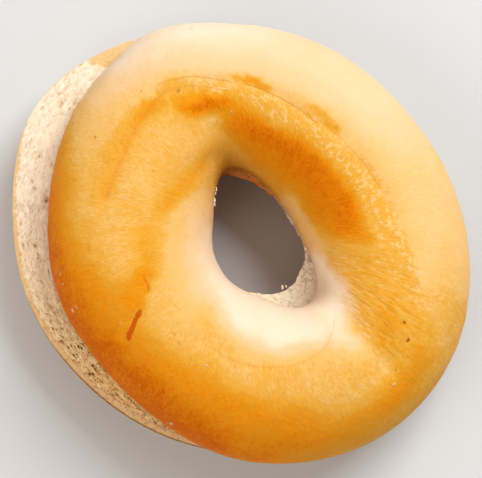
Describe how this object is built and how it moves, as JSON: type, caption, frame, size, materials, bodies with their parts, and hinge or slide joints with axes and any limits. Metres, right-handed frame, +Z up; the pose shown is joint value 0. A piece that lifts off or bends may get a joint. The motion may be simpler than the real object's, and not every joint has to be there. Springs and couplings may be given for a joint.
{
  "type": "sliced bagel",
  "caption": "Round bread ring with a shiny browned top half resting, slid a little aside, on a pale-crumbed bottom half.",
  "frame": {"origin": "middle of the overall box at the flat underside, on the surface that the bagel rests on", "axes": "+Z up through the hole; +X from the heel's uncovered side towards the side that the crown is slid to; +Y towards the hole's narrow end"},
  "size_m": [0.1141, 0.1103, 0.0381],
  "materials": {
    "golden_crust": "thin baked crust, satin, golden orange on the flanks and pale cream round the hole and on the north rim",
    "pale_crumb": "soft matt bread crumb with small pores, and a thin tan crust on the sides and underneath"
  },
  "bodies": {
    "root": {"crown": "golden_crust", "heel": "pale_crumb"}
  },
  "joints": []
}
